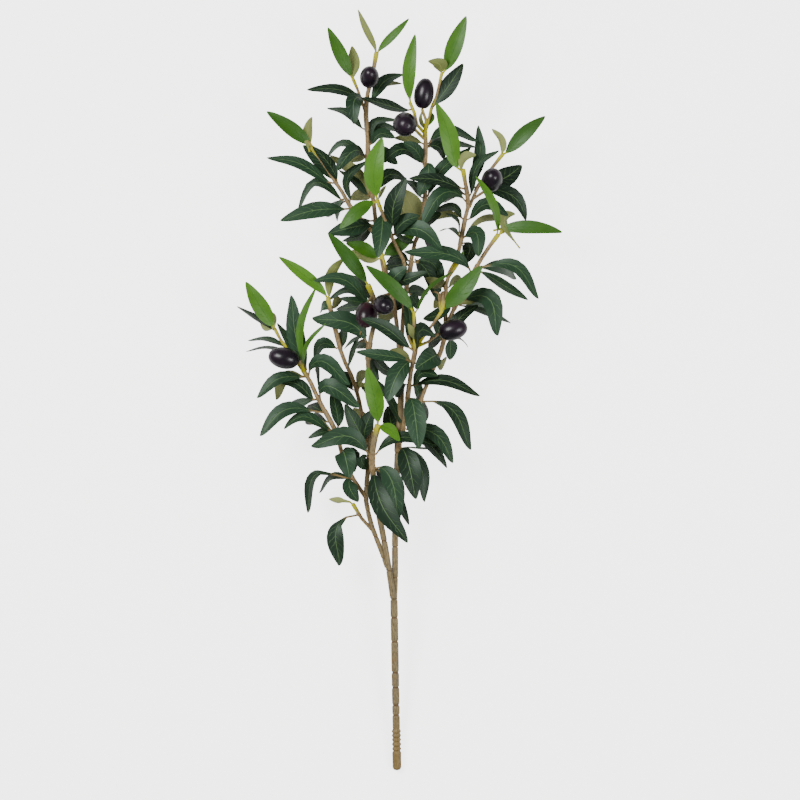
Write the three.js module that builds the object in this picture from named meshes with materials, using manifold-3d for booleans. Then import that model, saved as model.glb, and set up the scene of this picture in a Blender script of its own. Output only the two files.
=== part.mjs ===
// A lifelike olive spray with fruit, lying on its back on a table.
//
// Frame: millimetres. Y runs along the spray, from the cut end of the stem (-Y) to the leafy tips (+Y).
// X runs across it and +Z points up, away from the table. While it is being laid out, X = 0 and Y = 0 are
// at the rounded end of the stem. At the end of the file the whole spray is moved so that its lowest
// point is at z = 0 and its box is centred on the origin.
//
// How the real thing goes together: a ringed stem forks into three stems, and twigs branch off them.
// Each twig ends in a yellow-green shoot with young leaves, moulded on in one piece. The old leaves sit
// on sleeves, one to three whorls to a sleeve, and each sleeve is slid over its twig. The olives are
// pushed on the ends of short stalks.

import * as THREE from 'three';
import { mergeVertices } from 'three/addons/utils/BufferGeometryUtils.js';
import Module from 'manifold-3d';

const wasm = await Module();
wasm.setup();

// ---- driving dimensions -------------------------------------------------------------------------

const STEM_RADIUS = 3.4; // the thick ringed stem
const STEM_END_RADIUS = 4.1; // its plain rounded end
const GROOVE_RADIUS = 2.5; // bottom of the ring grooves
const GAP = 0.3; // free space between pieces that touch
const SLEEVE_WALL = 0.9; // sleeve that carries a whorl of leaves
const SLEEVE_REACH = 2; // how far a sleeve runs past its first and last whorl
const PETIOLE = 1.3; // width of a leaf stalk
const LEAF_THICK = 0.8; // thickness along the midrib
const FOLD = 0.22; // how far the edges stand above the midrib, per mm of half width
const CLEAR = 0.35; // free space kept around every leaf while it is being placed
const FOOT_DEPTH = 3; // how far the foot of a young leaf is rooted in the end of its shoot
const DOWN = 'down'; // rise of a leaf whose tip reaches down to the table
const WELD = 1e-4; // corners nearer than this are one corner
const THICK_ROD = 2.2; // a tube thicker than this has six sides, a thinner one five

// ---- small helpers ------------------------------------------------------------------------------

const UP = new THREE.Vector3(0, 0, 1);
const vec = (p) => new THREE.Vector3(...p);
const curve = (points) => new THREE.CatmullRomCurve3(points.map(vec), false, 'centripetal');

function solid(geometry) {
  const bare = geometry.clone();
  bare.deleteAttribute('normal');
  bare.deleteAttribute('uv');
  const merged = mergeVertices(bare, WELD);
  return new wasm.Manifold(new wasm.Mesh({
    numProp: 3,
    vertProperties: new Float32Array(merged.attributes.position.array),
    triVerts: new Uint32Array(merged.index.array),
  }));
}

function geometryOf(manifold) {
  const mesh = manifold.getMesh();
  const geometry = new THREE.BufferGeometry();
  geometry.setAttribute('position', new THREE.BufferAttribute(new Float32Array(mesh.vertProperties), 3));
  geometry.setIndex(new THREE.BufferAttribute(new Uint32Array(mesh.triVerts), 1));
  geometry.computeVertexNormals();
  return geometry;
}

// A round tube along a route, with a step about every `step` millimetres. Two tubes on one route with
// the same sides and step lie parallel, so a bore keeps an even gap to the twig inside it.
function tube(route, radius, sides = 5, step = 14) {
  const shape = new THREE.Shape();
  for (let i = 0; i < sides; i += 1) {
    const turn = (i / sides) * 2 * Math.PI;
    const x = radius * Math.cos(turn);
    const y = radius * Math.sin(turn);
    if (i === 0) shape.moveTo(x, y);
    else shape.lineTo(x, y);
  }
  const steps = Math.max(2, Math.round(route.getLength() / step));
  return solid(new THREE.ExtrudeGeometry(shape, { steps, extrudePath: route, curveSegments: 1 }));
}

const sidesOf = (radius) => (radius > THICK_ROD ? 6 : 5);

// The tube of a stem or twig, grown all round by `extra`.
function rod({ path, radius }, extra = 0) {
  return tube(path, radius + extra, sidesOf(radius));
}

// The place on a route that is nearest to (x, y) in plan, or nearest to a Y where x is left out.
function placeOn(route, y, x) {
  let best = 0;
  let bestGap = Infinity;
  for (let i = 0; i <= 200; i += 1) {
    const p = route.getPointAt(i / 200);
    const gap = x === undefined ? Math.abs(p.y - y) : Math.hypot(p.x - x, p.y - y);
    if (gap < bestGap) {
      bestGap = gap;
      best = i / 200;
    }
  }
  return best;
}

// ---- leaves -------------------------------------------------------------------------------------

// Where the rings of a leaf lie along its midrib, from the foot of the stalk to the tip.
const LEAF_RINGS = [0, 0.12, 0.26, 0.44, 0.64, 0.85, 1];
const BLADE_START = 0.16; // where the blade begins, unless a leaf has a longer stalk
const BLADE_LEAN = 0.82; // below 1 the widest place is nearer the stalk than the tip
const BLADE_FULLNESS = 0.8; // below 1 the outline is fuller than a sine curve

function halfWidth(along, wide, bladeStart) {
  const u = Math.max(0, (along - bladeStart) / (1 - bladeStart));
  const blade = (wide / 2) * Math.sin(Math.PI * u ** BLADE_LEAN) ** BLADE_FULLNESS;
  return Math.max(PETIOLE / 2, blade || 0);
}

// A leaf is a closed loft with a point at each end and a ring of four corners at each station: two
// edges, the top of the midrib and the back of it. `roll` is 0 where the upper side faces straight up
// from the table, 90 where it faces the tips of the spray, and 180 where the underside shows.
function leafSolid(route, { wide, roll, bladeStart = BLADE_START }, extra = 0) {
  const rings = LEAF_RINGS.length - 1;
  const geometry = new THREE.SphereGeometry(1, 4, rings);
  const position = geometry.attributes.position;
  const chord = route.getPointAt(1).sub(route.getPointAt(0.2)).normalize();
  const face = UP.clone().addScaledVector(chord, -UP.dot(chord));
  const side = chord.clone().cross(UP).y >= 0 ? 1 : -1;
  const turn = THREE.MathUtils.degToRad(roll);
  for (let i = 0; i < position.count; i += 1) {
    const ring = Math.round((Math.acos(THREE.MathUtils.clamp(position.getY(i), -1, 1)) / Math.PI) * rings);
    const along = LEAF_RINGS[ring];
    const centre = route.getPointAt(along);
    if (ring > 0 && ring < rings) {
      const tangent = route.getTangentAt(along);
      const facing = face.clone().addScaledVector(tangent, -face.dot(tangent)).normalize();
      const skyward = tangent.clone().cross(facing).multiplyScalar(side);
      const normal = facing.multiplyScalar(Math.cos(turn)).addScaledVector(skyward, Math.sin(turn));
      const across = normal.clone().cross(tangent);
      const size = Math.sin((Math.PI * ring) / rings);
      const cornerAcross = Math.round(position.getX(i) / size);
      const cornerUp = Math.round(position.getZ(i) / size);
      const half = halfWidth(along, wide, bladeStart) + extra;
      const rise = cornerAcross ? FOLD * (half - PETIOLE / 2) : cornerUp * (LEAF_THICK / 2 + extra);
      centre.addScaledVector(across, cornerAcross * half).addScaledVector(normal, rise);
    }
    position.setXYZ(i, centre.x, centre.y, centre.z);
  }
  return solid(geometry);
}

// ---- olives -------------------------------------------------------------------------------------

const OLIVE_STEPS = 7; // from one end of an olive to the other
const OLIVE_SIDES = 10; // round it
const OLIVE_FULLNESS = 0.92; // 1 is an ellipse, less is fuller towards the ends

function oliveSolid({ at, points, length, radius }) {
  const profile = [];
  for (let i = 0; i <= OLIVE_STEPS; i += 1) {
    const turn = (i / OLIVE_STEPS) * Math.PI;
    const bulge = radius * Math.sin(turn) ** OLIVE_FULLNESS;
    profile.push(new THREE.Vector2(i % OLIVE_STEPS ? bulge : 0, (-length / 2) * Math.cos(turn)));
  }
  const geometry = new THREE.LatheGeometry(profile, OLIVE_SIDES);
  geometry.applyQuaternion(new THREE.Quaternion().setFromUnitVectors(
    new THREE.Vector3(0, 1, 0),
    vec(points).normalize(),
  ));
  geometry.translate(...at);
  return solid(geometry);
}

// ---- the main stem ------------------------------------------------------------------------------

// Where the ring grooves, and the turned beads near the end, lie along the stem, seen from above.
const GROOVES = [54, 64, 82, 97, 128, 152];
const GROOVE_REACH = 2; // half the length of a groove
const BEADS = [20, 24.5, 29, 33, 37.5];
const BEAD_RADIUS = 4.2;
const NECK_RADIUS = 3.3; // between the beads
const BEAD_REACH = 2.1; // from the neck before a bead to the top of it
const BEADS_END = 40;
const STEM_FOOT = [-3, 0, 4.4]; // centre of the cut end
const STEM_TOP = [-6, 168, 38.4]; // centre of the fork end, which stands off the table
const TOP_RADIUS = 3.2;
const STEM_SIDES = 8;

// The cut end is rounded over: [radius, place along the stem].
const ROUNDED_END = [[0, -2], [2.6, -1.4], [4, 1], [STEM_END_RADIUS, 16]];

function mainStem() {
  const run = vec(STEM_TOP).sub(vec(STEM_FOOT));
  const stretch = run.length() / run.y; // the stem is longer than it looks from above, as it is tilted
  const profile = ROUNDED_END.map(([radius, y]) => new THREE.Vector2(radius, y));
  for (const y of BEADS) {
    profile.push(new THREE.Vector2(NECK_RADIUS, y - BEAD_REACH));
    profile.push(new THREE.Vector2(BEAD_RADIUS, y));
  }
  profile.push(new THREE.Vector2(NECK_RADIUS, BEADS_END));
  for (const y of GROOVES) {
    profile.push(new THREE.Vector2(STEM_RADIUS, y - GROOVE_REACH));
    profile.push(new THREE.Vector2(GROOVE_RADIUS, y));
    profile.push(new THREE.Vector2(STEM_RADIUS, y + GROOVE_REACH));
  }
  profile.push(new THREE.Vector2(TOP_RADIUS, run.y), new THREE.Vector2(0, run.y));
  const geometry = new THREE.LatheGeometry(profile, STEM_SIDES);
  geometry.scale(1, stretch, 1);
  geometry.applyQuaternion(new THREE.Quaternion().setFromUnitVectors(
    new THREE.Vector3(0, 1, 0),
    run.normalize(),
  ));
  geometry.translate(...STEM_FOOT);
  return solid(geometry);
}

// ---- stems, twigs and shoots --------------------------------------------------------------------

// Each entry: its radius, its route from foot to tip, the side stalks that are moulded with it, and its
// young leaves. A young leaf is [foot x, foot y, middle x, middle y, tip x, tip y, rise of the tip, width,
// roll], and a leaf with a long stalk adds where its blade begins.
const STALK_RADIUS = 1.1;
const BRANCHES = {
  right_stem: {
    radius: 2.9,
    route: [
      [-6, 168.8, 38.3], [-5, 195, 43], [-5, 225, 48], [-4, 270, 54], [-2, 322, 58], [1, 370, 60],
      [0, 416, 60],
    ],
  },
  middle_stem: {
    radius: 2.7,
    route: [
      [-7, 172, 43], [-11, 200, 49], [-16, 230, 53], [-20, 250, 56], [-25, 280, 58], [-28, 312, 60],
      [-26, 328, 62], [-22, 345, 65],
    ],
    young: [
      [-22, 349, -26, 375, -33, 403, 12, 17, 5],
      [-19, 344, -10, 340, 0, 329, 10, 12, 25],
    ],
  },
  left_stem: {
    radius: 2.3,
    route: [
      [-13, 203, 49], [-20, 223, 50], [-27, 240, 51], [-34, 270, 50], [-33, 290, 47], [-31, 312, 46],
      [-29, 340, 46], [-28, 365, 48], [-31, 395, 51], [-32, 414, 53], [-30, 428, 54], [-26, 445, 56],
      [-24, 460, 58], [-27, 474, 62], [-32, 485, 66],
    ],
    stalks: [[[-25.5, 470, 61], [-29, 472, 66], [-32, 468.2, 70]]],
    young: [[-33, 487, -50, 510, -72, 537, 12, 14, 10]],
  },
  low_left_twig: {
    radius: 1.5,
    route: [[-27, 239, 51], [-34, 246, 53], [-42, 257, 55], [-47, 266, 58]],
    young: [[-49, 268, -58, 269, -71, 271, 4, 7, 150, 0.5]],
  },
  far_left_twig: {
    radius: 1.9,
    route: [
      [-34, 272, 50], [-42, 284, 53], [-47, 291, 55], [-55, 306, 57], [-64, 338, 60], [-74, 357, 60],
      [-80, 368, 61], [-85, 378, 62], [-91, 391, 63], [-97, 400, 65],
    ],
    stalks: [
      [[-96, 398, 65], [-98, 404, 73], [-98, 407, 80], [-100.4, 408.7, 82.3]],
      [[-96, 398, 65], [-106, 412, 62], [-114, 424, 63], [-120, 431, 65], [-125, 441, 68]],
    ],
    young: [
      [-127, 444, -142, 467, -154, 488, 6, 16, 8],
      [-126, 442, -133, 450, -139, 460, -22, 19, 165],
      [-124, 439, -146, 453, -163, 463.5, -4, 10, 60],
      [-113, 422, -132, 430.5, -152, 429.5, -6, 10, 60],
      [-109, 416, -132, 422, -154, 418.5, -10, 10, 70],
      [-96, 402, -93, 424, -74, 447, 6, 9, 60],
      [-97, 402, -99, 445, -84, 483, -8, 9, 35],
    ],
  },
  centre_left_twig: {
    radius: 1.8,
    route: [
      [-30, 316, 46], [-33, 332, 45], [-38, 355, 46], [-43, 378, 48], [-50, 398, 51], [-57, 412, 53],
      [-62, 430, 55], [-67, 450, 57], [-72, 472, 61],
    ],
    young: [
      [-74, 475, -95, 494, -121, 513, 5, 12, 15],
      [-71, 475, -68, 497, -56, 512, -10, 11, 155],
    ],
  },
  tall_left_twig: {
    radius: 1.9,
    route: [
      [-1, 417, 60], [-4, 452, 60], [-9, 478, 60], [-14, 498, 60], [-20, 520, 60], [-24, 545, 60],
      [-26, 565, 61], [-30, 587, 62], [-33, 605, 63], [-32, 622, 64], [-34, 653, 65], [-34, 664, 62],
      [-32, 678, 60], [-28, 692, 60], [-26, 703, 62], [-23.5, 717, 66],
    ],
    stalks: [
      [[-34, 655, 65], [-39, 671, 60], [-43, 682, 63], [-47, 691, 70]],
      [[-33, 674, 61], [-32, 681, 61.5], [-31.8, 685.6, 63.6]],
      [[-9, 478, 60], [-15, 489, 66], [-17, 500, 72], [-19, 510, 76]],
      [[-9, 477, 60], [-18, 474, 68], [-20.1, 469.1, 80.6]],
    ],
    young: [
      [-25, 722, -34, 740, -42, 760, 4, 7, 160],
      [-19, 722, -5, 736, 9, 751, 4, 8, 10],
      [-48, 692, -60, 716, -72, 742, 8, 13, 10],
      [-47, 693, -47, 708, -48, 724, -12, 13, 160],
      [-16, 513, -2, 524, 15, 536, 10, 14, 10],
      [-23, 514, -38, 522, -54, 527, 4, 13, 20],
      [-22, 511, -36, 514, -50, 519, -16, 13, 155],
    ],
  },
  tall_right_twig: {
    radius: 1.9,
    route: [
      [1.5, 416, 60], [3, 452, 57], [6, 480, 56], [11, 505, 56], [14, 525, 57], [22, 542, 58],
      [24, 565, 60], [26, 585, 62], [25, 604, 63], [26, 623, 65], [25, 639, 67],
    ],
    stalks: [
      [[25, 636, 66], [18, 643, 68], [15, 655, 70], [12, 662, 72], [10, 667, 73]],
      [[25, 637, 67], [29, 651, 69], [32, 663, 71], [36, 672, 73], [39, 684, 75], [42, 697, 77]],
      [[25, 637, 67], [26, 650, 70], [22, 660.5, 72.4]],
      [[25, 630, 66], [15, 640, 67], [3.8, 646.4, 68.5]],
    ],
    young: [
      [10, 668, 9, 698, 15, 735, 8, 13, 5],
      [9, 659, -13, 664, -38, 672, 2, 14, 45],
      [24, 640, 20, 650, 22, 660, -8, 7, 120],
      [28, 643, 31, 650, 31, 657, -6, 8, 30],
      [45, 699, 56, 727, 66, 753, 8, 16, 8],
      [33, 662, 49, 684, 63, 706, 0, 16, 12],
      [41, 699, 39, 705, 28, 708, 14, 14, 150],
    ],
  },
  upper_left_twig: {
    radius: 1.6,
    route: [
      [-26, 536, 60], [-34, 546, 61], [-48, 561, 62], [-55, 573, 63], [-61, 583, 64], [-66, 590, 65],
      [-72, 600, 67], [-84, 617, 69], [-88, 622, 70],
    ],
    young: [
      [-92, 627, -113, 644, -133, 658, 6, 14, 10],
      [-91, 627, -92, 640, -88, 653, -10, 10, 160],
    ],
  },
  front_twig: {
    radius: 1.5,
    route: [
      [6, 487, 57], [5, 506, 66], [-2, 520, 71], [-8, 532, 74], [-12, 544, 77], [-20, 562, 80],
      [-23, 570, 82],
    ],
    young: [
      [-24, 575, -26, 600, -18, 632, 8, 19, 5],
      [-28, 567, -44, 556.5, -60, 541, 6, 14, 15],
      [-20, 574, -17, 578, -14, 584, -10, 7, 120],
    ],
  },
  middle_twig: {
    radius: 2,
    route: [[1, 328, 61], [4, 345, 66], [8, 375, 69], [11, 398, 71], [15, 418, 73], [16, 426, 74]],
    stalks: [
      [[15, 422, 73], [14, 436, 76], [14, 447, 79], [14, 458, 81]],
      [[16, 422, 73], [24, 434, 76], [33, 446, 79], [42, 459, 81]],
      [[16, 423, 74], [28, 428, 81], [38.6, 436.2, 86.4]],
      [[14, 422, 73], [9, 430, 77], [8, 434, 78]],
    ],
    young: [
      [18, 428, 13, 437, 8, 446, 14, 10, 150],
      [11, 462, -10, 485, -34, 504, 10, 14, 10],
      [18, 462, 28, 480, 52, 498, 6, 8, 60],
      [45, 463, 62, 480, 82, 504, 8, 18, 10],
      [43, 465, 41, 474, 46, 480, -8, 8, 30],
      [40, 463, 38, 478, 31, 477, -2, 6, 60],
    ],
  },
  right_twig: {
    radius: 1.8,
    route: [
      [5, 347, 66], [20, 368, 62], [25, 381, 61], [32, 398, 60], [41, 419, 59], [44, 430, 58], [48, 448, 57],
      [55, 463, 58], [64, 480, 60], [72, 494, 62], [77, 504, 64], [87, 520, 67], [98, 535, 70],
    ],
    young: [
      [107, 541, 134, 542.5, 162, 537.5, 4, 13, 8],
      [98, 540, 91, 569, 75.5, 593, 14, 11, 40],
      [105, 542, 104, 553, 115, 556, -12, 13, 150],
    ],
  },
  upper_right_twig: {
    radius: 1.8,
    route: [
      [44.5, 431.5, 58], [46, 460, 53], [46, 478, 53], [47, 492, 54], [51, 500, 55], [56, 508, 56],
      [59, 520, 57], [62, 535, 59], [64, 547, 61], [68, 563, 63], [68, 572, 65], [66, 583, 69], [63, 600, 75],
    ],
    stalks: [[[47, 490, 54], [55, 502, 60], [60, 510, 63]]],
    young: [
      [56, 604, 49, 634, 36.5, 666.5, 10, 17, 5],
      [61, 604, 65, 613, 76, 615, -8, 10, 150],
      [58, 507, 62, 512, 63, 520, 6, 8, 60],
    ],
  },
  top_right_twig: {
    radius: 1.4,
    route: [
      [69, 562, 63], [73, 572, 61], [77, 582, 60], [85, 593, 60], [93, 603, 62], [98, 610, 64],
      [103, 616, 66],
    ],
    stalks: [[[73, 571, 61], [82, 577, 63], [90.4, 582.7, 67.4]]],
    young: [
      [107, 618, 124.5, 636, 145, 653.5, 4, 14, 8],
      [102, 618, 102, 628, 92, 641, 2, 9, 140],
    ],
  },
};

// ---- olives: centre, direction of the free end, length and radius ------------------------------------

const OLIVES = {
  olive_top: { at: [-30.5, 692.5, 78], points: [0.05, 0.46, 0.89], length: 29, radius: 9.8 },
  olive_tall: { at: [24, 676, 74], points: [0.15, 0.97, 0.1], length: 31, radius: 10.2 },
  olive_front: { at: [5, 645, 84], points: [0.1, -0.1, 0.99], length: 28, radius: 12.4 },
  olive_right: { at: [92, 590, 80], points: [0.1, 0.5, 0.86], length: 28, radius: 10.8 },
  olive_centre: { at: [-16, 465, 93], points: [0.3, -0.3, 0.9], length: 26, radius: 10 },
  olive_ripening: { at: [-33.7, 454.7, 78], points: [-0.1, -0.85, 0.5], length: 27, radius: 11.3 },
  olive_low_right: { at: [53, 440, 88], points: [0.95, 0.25, 0.1], length: 29, radius: 10.6 },
  olive_left: { at: [-116, 412, 84], points: [-0.97, 0.2, 0.1], length: 31, radius: 11 },
};

// ---- old leaves, by sleeve ----------------------------------------------------------------------

// Each leaf: [y of its foot on the twig, middle x, middle y, tip x, tip y, rise of the tip, width, roll],
// and a leaf with a long stalk adds where its blade begins. The rise is DOWN for a leaf that the spray
// rests on.
const SLEEVES = [
  ['tall_left_twig', [
    [668, -62, 680, -93, 680, 8, 12, 35],
    [668, -45, 671, -46, 645, 24, 16, 10],
    [668, -15, 689, 3, 696, -12, 13, 30],
    [668, -15, 684, 2, 687, -30, 12, 100],
    [640, -53, 657, -73, 662, -12, 11, 45],
    [664, -44, 668, -46, 654, DOWN, 14, 30],
  ]],
  ['tall_left_twig', [
    [624, -28, 645, -2, 651, -10, 12, 50],
    [624, -20, 642, 0, 640, -24, 13, 30],
    [624, -20, 636, -5, 632, 8, 14, 45],
    [612, -44, 620, -64, 599, 20, 16, 35],
    [612, -57, 627, -75, 610, -12, 12, 55],
    [612, -22, 618, -2, 606, 8, 14, 20],
    [612, -42, 613, -53, 608, -20, 14, 140],
  ]],
  ['tall_left_twig', [
    [574, -40, 592, -70, 615, -24, 14, 150],
    [574, -45, 588, -61, 600, -8, 11, 50],
    [574, -38, 575, -50, 571, -36, 14, 150],
    [578, -10, 596, 8, 589, -18, 14, 30],
  ]],
  ['tall_left_twig', [
    [545, -45, 543, -72, 536, 16, 17, 15],
    [545, -18, 540, -22, 512, 28, 19, 5],
    [545, -40, 534, -58, 529, -24, 13, 60],
    [549, -44, 545, -66, 540, DOWN, 15, 30],
    [545, -8, 552, 8, 560, -40, 15, 140],
    [542, -34, 537, -44, 529, -30, 15, 40],
  ]],
  ['tall_left_twig', [
    [484, -6, 492, 7, 503, 14, 15, 25],
    [484, 6, 490, 28, 498, 22, 12, 25],
    [478, -16, 466, -14, 440, DOWN, 15, 30],
    [458, -2, 468, -9, 476, -22, 14, 30],
    [458, -12, 454, -22, 450, -20, 13, 140],
  ]],
  ['upper_left_twig', [
    [587, -101, 606.5, -133, 612, 4, 12, 22],
    [587, -80, 610, -97, 625, -18, 16, 15],
    [587, -72, 607, -87, 623, 12, 12, 30],
  ]],
  ['upper_left_twig', [
    [569, -84, 589, -103, 557, -8, 13, 50],
    [562, -85, 559.5, -119.5, 549, 16, 16, 12],
    [566, -60, 567, -63, 549, -16, 12, 55],
    [569, -64, 562, -78, 560, DOWN, 15, 30],
    [566, -53, 590, -33, 609, 12, 12, 45],
  ]],
  ['front_twig', [
    [540, -7, 562, 6, 592, 18, 18, 10],
    [534, 3, 547, 19, 554, 10, 16, 30],
    [534, 18, 541, 42, 521, 16, 17, 15],
    [534, 4, 529, 14, 528, -20, 14, 60],
  ]],
  ['tall_right_twig', [
    [626, 12, 630, -6, 632, -12, 12, 130],
    [626, 42, 640, 78, 629, -8, 13, 40],
    [626, 40, 628, 76, 623, -20, 12, 50],
    [622, 38, 632, 50, 638, DOWN, 14, 30],
    [606, 2, 621, -17, 607, 10, 15, 30],
    [606, 15, 620, 3, 627, 20, 14, 25],
    [606, 29, 600, 19, 573, 10, 17, 20],
    [622, 37, 624, 45, 611, -12, 13, 40],
  ]],
  ['tall_right_twig', [
    [572, 36, 594, 71, 623, -12, 14, 30],
    [572, 14, 584, 5, 590, -4, 12, 50],
    [545, 12, 562, 3, 581, -18, 22, 160],
    [545, 29, 549, 41, 557, 8, 13, 40],
    [542, 28, 532, 34, 522, -22, 14, 40],
  ]],
  ['tall_right_twig', [
    [508, 25, 502, 39, 468, -6, 13, 25],
    [508, 32, 508, 41, 478, -22, 15, 20],
    [508, -2, 513, -14, 508, -16, 13, 40],
    [474, 16, 479, 28, 477, -24, 14, 30],
    [474, 13, 471, 19, 461, -14, 13, 40],
    [504, -1, 505, -16, 503, -28, 14, 30],
    [508, 18, 506, 22, 496, -10, 12, 50],
  ]],
  ['upper_right_twig', [
    [581, 36, 590, 9, 591, 18, 12, 20],
    [568, 48, 580, 19, 543, 18, 17, 30],
    [572, 77, 604, 99, 619.5, -8, 12, 45],
    [574, 54, 578, 42, 570, DOWN, 15, 30],
  ]],
  ['upper_right_twig', [
    [550, 55, 562, 34, 559, 4, 13, 50],
    [550, 86, 566, 108, 554, 8, 15, 35],
    [550, 48, 556, 31, 550, -20, 12, 130],
    [532, 57, 549, 46, 556, 14, 12, 75],
    [532, 52, 541, 39, 539, -14, 11, 80],
    [532, 75, 539, 79, 513, 14, 16, 20],
    [532, 80, 549, 108, 552, -18, 12, 125],
    [526, 70, 526, 66, 507, -18, 16, 30],
  ]],
  ['upper_right_twig', [
    [482, 54, 489, 62, 491, -14, 12, 130],
    [482, 36, 486, 26, 492, -30, 14, 150],
  ]],
  ['top_right_twig', [
    [580, 80, 615, 78.5, 645, -6, 12, 8],
    [584, 105, 592, 122, 605, -18, 20, 15],
    [584, 116, 572, 126, 549.5, -8, 15, 20],
    [586, 96, 580, 110, 588, DOWN, 15, 20],
  ]],
  ['right_twig', [
    [504, 113, 505, 138.5, 471, 10, 13, 20, 0.25],
    [500, 102, 485.5, 128, 470, -8, 12, 35],
    [496, 57, 513, 4, 518, 12, 15, 20],
    [502, 100, 503, 117, 492, DOWN, 15, 30],
  ]],
  ['right_twig', [
    [470, 87, 474, 98, 434, 18, 19, 12],
    [466, 92, 455, 111, 447, -14, 10, 50],
    [466, 70, 470, 86, 475, 4, 10, 150],
    [468, 78, 464, 92, 458, DOWN, 15, 30],
    [462, 42, 470, 34, 462, -24, 14, 150],
    [462, 38, 455, 23, 451, -20, 15, 40],
  ]],
  ['right_twig', [
    [430, 50, 428, 50, 410, -8, 14, 30],
    [430, 58, 432, 68, 423, -12, 10, 80],
    [430, 36, 430, 28, 424, -22, 14, 30],
    [430, 58, 450, 78, 465, 4, 14, 30],
    [414, 31, 412, 15, 401, 26, 21, 5],
    [410, 42, 405, 47, 412, -16, 12, 140],
    [430, 38, 441, 36, 452, -14, 13, 40],
  ]],
  ['right_twig', [
    [369, 50, 363, 71, 320, 12, 15, 20, 0.3],
    [370, 26, 362, 16, 342, DOWN, 13, 30],
  ]],
  ['middle_twig', [
    [419, -17, 443.5, -39, 451, 22, 14, 15],
    [419, 22, 441, 35, 433, 22, 17, 20],
    [408, -1, 398, -13, 368.5, 18, 19, 10],
    [408, -20, 415, -44, 418, 2, 12, 20],
    [408, 2, 414, -10, 420, -18, 13, 140],
    [419, 10, 448, 5, 481, -8, 13, 30],
  ]],
  ['middle_twig', [
    [384, 42, 390, 80, 374, 10, 13, 30],
    [384, 22, 397, 38, 394, 4, 14, 40],
    [384, 17, 382, 18, 370, -12, 12, 45],
    [384, 2, 380, -5, 373, -6, 12, 55],
    [372, 13, 365, 19, 321, 22, 21, 5],
  ]],
  ['middle_twig', [
    [341, 36, 336, 53, 307, 8, 16, 20],
    [341, 33, 322, 47, 302, -10, 13, 35],
    [341, -10, 370, -26, 392, -14, 12, 45],
  ]],
  ['right_stem', [
    [322, 6, 315, 16, 271, 24, 21, 5],
    [322, 20, 305, 24.5, 268, 6, 14, 20],
    [322, 20, 321, 37, 321, -16, 11, 80],
    [320, 10, 310, 17, 292, DOWN, 15, 30],
    [330, -9, 346, -12, 364, -14, 17, 20],
  ]],
  ['middle_stem', [
    [315, -8, 332, 40, 325, -2, 12, 30],
    [315, -48, 334, -89, 324, 18, 18, 10],
    [312, -39, 314, -34, 300, -14, 14, 30],
    [302, -11, 296, -1, 250, 16, 20, 8],
    [300, -21, 271, 7.5, 227.5, 24, 20, 5],
    [300, -8, 282, 9, 245, -8, 14, 40],
    [304, -16, 284, -8, 262, DOWN, 15, 30],
  ]],
  ['far_left_twig', [
    [292, -84, 297, -92.5, 257, -6, 13, 40, 0.4],
    [292, -66, 294, -81, 277, -14, 11, 55],
    [292, -51, 284, -42, 268, 10, 15, 20],
    [296, -50, 306, -42, 318, DOWN, 14, 30],
    [316, -56, 318, -50, 292, 20, 20, 5],
    [316, -48, 318, -45, 298, -16, 12, 40],
  ]],
  ['far_left_twig', [
    [340, -98, 354, -116, 341, 4, 12, 35],
    [340, -80, 346, -92, 348, -18, 13, 130],
    [340, -80, 337, -92, 332, -12, 11, 50],
    [348, -84, 350, -94, 352, DOWN, 15, 30],
    [340, -64, 362, -68, 380, -12, 15, 30],
    [358, -114, 361, -140, 334, 8, 15, 20, 0.3],
    [358, -84, 362, -92, 365, -18, 14, 40],
  ]],
  ['far_left_twig', [
    [371, -103, 386, -120, 387.5, -4, 13, 30],
    [371, -76, 386, -40, 363, 16, 17, 15],
    [371, -100, 366, -120, 358, DOWN, 12, 30],
  ]],
  ['far_left_twig', [
    [394, -120, 392, -143, 372, 4, 13, 25],
    [394, -113, 395, -124, 370, -18, 13, 150],
    [394, -82, 411, -50, 385, 16, 16, 25],
    [394, -86, 408, -81, 384, -14, 12, 60],
    [397, -102, 424, -109, 475, 10, 17, 5],
    [397, -108, 424, -123, 447, -16, 12, 40],
  ]],
  ['centre_left_twig', [
    [422, -77, 427, -86, 409, -4, 14, 40],
    [422, -57, 433, -54, 445, -12, 12, 40],
    [460, -75, 464, -80, 458, -12, 13, 50],
    [460, -64, 467, -58, 470, -16, 12, 140],
  ]],
  ['centre_left_twig', [
    [380, -57, 393, -76, 383, -8, 14, 30],
    [380, -37, 389, -29, 371, -16, 14, 30],
    [380, -40, 392, -32, 399, -26, 12, 140],
  ]],
  ['centre_left_twig', [
    [330, -46, 348, -55, 366, 16, 15, 10],
    [330, -34, 345, -25, 361, 12, 15, 25],
    [330, -39, 351, -47, 362, -26, 14, 150],
  ]],
  ['left_stem', [
    [426, -43, 444, -88, 452, 6, 20, 15],
    [426, -44, 430, -56, 421, -6, 12, 70],
    [426, -42, 427, -52, 402, 6, 12, 65],
    [412, -18, 402, -8, 398, -18, 15, 40],
    [412, -27, 402, -21, 390, -12, 12, 50],
    [420, -38, 425, -46, 424, -22, 13, 40],
  ]],
  ['left_stem', [
    [464, -57, 491, -86, 489, 6, 14, 25],
    [464, -50, 480, -72, 470, -6, 12, 50],
    [464, -47, 469, -60, 472, -18, 13, 50],
    [464, -42, 490, -60, 496, -26, 11, 60],
    [464, -48, 463, -64, 461, -26, 14, 45],
  ]],
  ['low_left_twig', [
    [256, -62, 247, -61, 204, 6, 17, 10, 0.36],
  ]],
];

// ---- putting it together ------------------------------------------------------------------------

const MATERIALS = {
  bark: { color: 0x8f7d5c, roughness: 0.75, metalness: 0 },
  leaf_cloth: { color: 0x2f5142, roughness: 0.5, metalness: 0 },
  olive_skin: { color: 0x1d1324, roughness: 0.2, metalness: 0 },
};

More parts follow.
